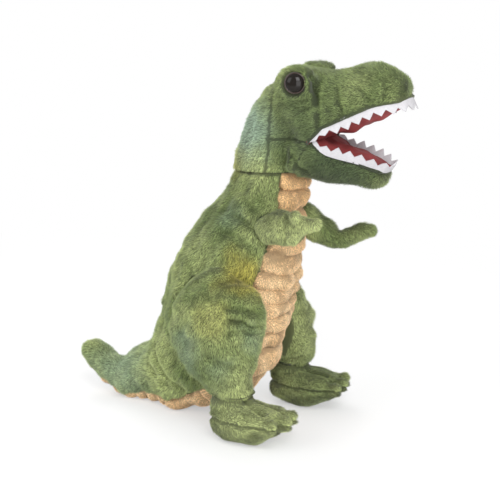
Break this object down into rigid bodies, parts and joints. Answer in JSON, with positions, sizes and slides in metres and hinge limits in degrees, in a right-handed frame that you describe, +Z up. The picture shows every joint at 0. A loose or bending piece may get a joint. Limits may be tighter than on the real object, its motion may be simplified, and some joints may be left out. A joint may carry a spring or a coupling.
{
  "type": "stuffed dinosaur",
  "caption": "Standing stuffed dinosaur of green pile cloth with a ribbed tan belly, an open felt-toothed mouth, and a jaw, head, arms, legs and tail that flex.",
  "frame": {"origin": "on the surface that the toy stands on, under the middle of its bounding box", "axes": "-Y the way the toy looks, +X the toy's left side, +Z up"},
  "size_m": [0.1522, 0.3008, 0.2921],
  "materials": {
    "green_pile": "short polyester pile, mottled greens",
    "tan_pile": "short pile, sewn in cross ribs",
    "mouth_lining": "smooth dark red cloth",
    "tooth_felt": "white felt, cut zigzag",
    "fibre_filling": "loose polyester fibre",
    "eye_plastic": "gloss black dome",
    "washer_plastic": "plain moulded lock washer"
  },
  "bodies": {
    "torso": {"torso_skin": "green_pile", "belly_panel": "tan_pile", "torso_stuffing": "fibre_filling"},
    "neck": {"neck_stuffing": "fibre_filling"},
    "head": {"neck_back_skin": "green_pile", "cheek_right_skin": "green_pile", "cheek_left_skin": "green_pile", "head_skin": "green_pile", "palate_lining": "mouth_lining", "head_stuffing": "fibre_filling", "eye_right": "eye_plastic", "eye_washer_right": "washer_plastic", "eye_left": "eye_plastic", "eye_washer_left": "washer_plastic", "upper_teeth": "tooth_felt"},
    "jaw": {"jaw_skin": "green_pile", "jaw_stuffing": "fibre_filling", "mouth_floor_lining": "mouth_lining", "lower_teeth": "tooth_felt"},
    "arm_right": {"arm_right_skin": "green_pile", "arm_right_stuffing": "fibre_filling"},
    "arm_left": {"arm_left_skin": "green_pile", "arm_left_stuffing": "fibre_filling"},
    "leg_right": {"thigh_right_skin": "green_pile", "leg_right_stuffing": "fibre_filling", "foot_right_upper": "green_pile", "foot_right_sole": "green_pile", "foot_right_stuffing": "fibre_filling"},
    "leg_left": {"thigh_left_skin": "green_pile", "leg_left_stuffing": "fibre_filling", "foot_left_upper": "green_pile", "foot_left_sole": "green_pile", "foot_left_stuffing": "fibre_filling"},
    "tail": {"tail_skin": "green_pile", "tail_underside_panel": "tan_pile", "tail_stuffing": "fibre_filling"}
  },
  "joints": [
    {"name": "neck_nod", "type": "hinge", "parent": "torso", "child": "neck", "pos_m": [0, -0.0339, 0.198], "axis": [1, 0, 0], "range_deg": [-8, 8], "stiffness_Nm_per_rad": 2},
    {"name": "head_turn", "type": "hinge", "parent": "neck", "child": "head", "pos_m": [0, -0.0339, 0.198], "axis": [0, 0, 1], "range_deg": [-25, 25], "stiffness_Nm_per_rad": 1},
    {"name": "jaw_open", "type": "hinge", "parent": "head", "child": "jaw", "pos_m": [0, -0.07601, 0.219], "axis": [1, 0, 0], "range_deg": [-9, 8], "stiffness_Nm_per_rad": 0.5},
    {"name": "arm_right_swing", "type": "hinge", "parent": "torso", "child": "arm_right", "pos_m": [-0.028, -0.04898, 0.16598], "axis": [1, 0, 0], "range_deg": [-30, 10], "stiffness_Nm_per_rad": 0.2},
    {"name": "arm_left_swing", "type": "hinge", "parent": "torso", "child": "arm_left", "pos_m": [0.028, -0.04898, 0.16598], "axis": [1, 0, 0], "range_deg": [-34, 5], "stiffness_Nm_per_rad": 0.2},
    {"name": "leg_right_swing", "type": "hinge", "parent": "torso", "child": "leg_right", "pos_m": [-0.036, -0.00998, 0.09194], "axis": [1, 0, 0], "range_deg": [-35, 8], "stiffness_Nm_per_rad": 3},
    {"name": "leg_left_swing", "type": "hinge", "parent": "torso", "child": "leg_left", "pos_m": [0.036, -0.00998, 0.09194], "axis": [1, 0, 0], "range_deg": [-35, 8], "stiffness_Nm_per_rad": 3},
    {"name": "tail_sway", "type": "hinge", "parent": "torso", "child": "tail", "pos_m": [0, 0.074, 0.0278], "axis": [0, 0, 1], "range_deg": [-20, 20], "stiffness_Nm_per_rad": 0.5}
  ]
}
